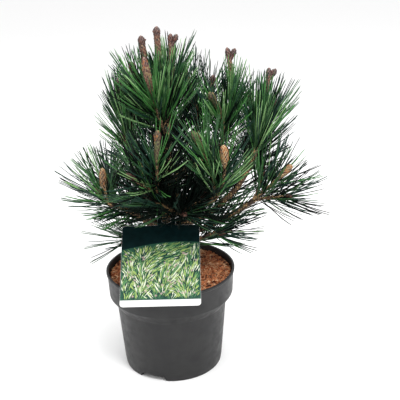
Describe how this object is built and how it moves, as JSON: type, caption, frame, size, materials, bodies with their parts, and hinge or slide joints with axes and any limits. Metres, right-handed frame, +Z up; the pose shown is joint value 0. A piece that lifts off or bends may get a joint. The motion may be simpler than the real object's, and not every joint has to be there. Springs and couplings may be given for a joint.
{
  "type": "potted dwarf pine",
  "caption": "Young dwarf pine with stiff dark green needles and upright reddish-brown buds, in a dark grey nursery pot with a card label looped round its trunk.",
  "frame": {"origin": "centre of the pot's flat underside", "axes": "+Z up along the pot's axis; -Y towards the side the card label leans on; +X to the right as seen from there"},
  "size_m": [0.436, 0.3881, 0.585],
  "materials": {
    "pot_plastic": "satin",
    "potting_mix": "rough bark and coir chips",
    "label_card": "printed film, satin",
    "bark": "scaly young bark",
    "needles": "waxy needles"
  },
  "bodies": {
    "root": {"pot": "pot_plastic", "root_ball": "potting_mix", "label": "label_card", "trunk": "bark", "bough_back": "bark", "bough_back_base": "bark", "bough_back_left": "bark", "bough_back_low": "bark", "bough_back_right": "bark", "bough_front_left": "bark", "bough_front_low": "bark", "bough_front_right": "bark", "bough_left_back": "bark", "bough_left_base": "bark", "bough_left_low": "bark", "bough_left_upper": "bark", "bough_right_back": "bark", "bough_right_base": "bark", "bough_right_low": "bark", "bough_right_outer": "bark", "bough_right_upper": "bark", "needles_leader": "needles", "needles_back": "needles", "needles_back_base": "needles", "needles_back_left": "needles", "needles_back_low": "needles", "needles_back_right": "needles", "needles_front_left": "needles", "needles_front_low": "needles", "needles_front_right": "needles", "needles_left_back": "needles", "needles_left_base": "needles", "needles_left_low": "needles", "needles_left_upper": "needles", "needles_right_back": "needles", "needles_right_base": "needles", "needles_right_low": "needles", "needles_right_outer": "needles", "needles_right_upper": "needles"}
  },
  "joints": []
}
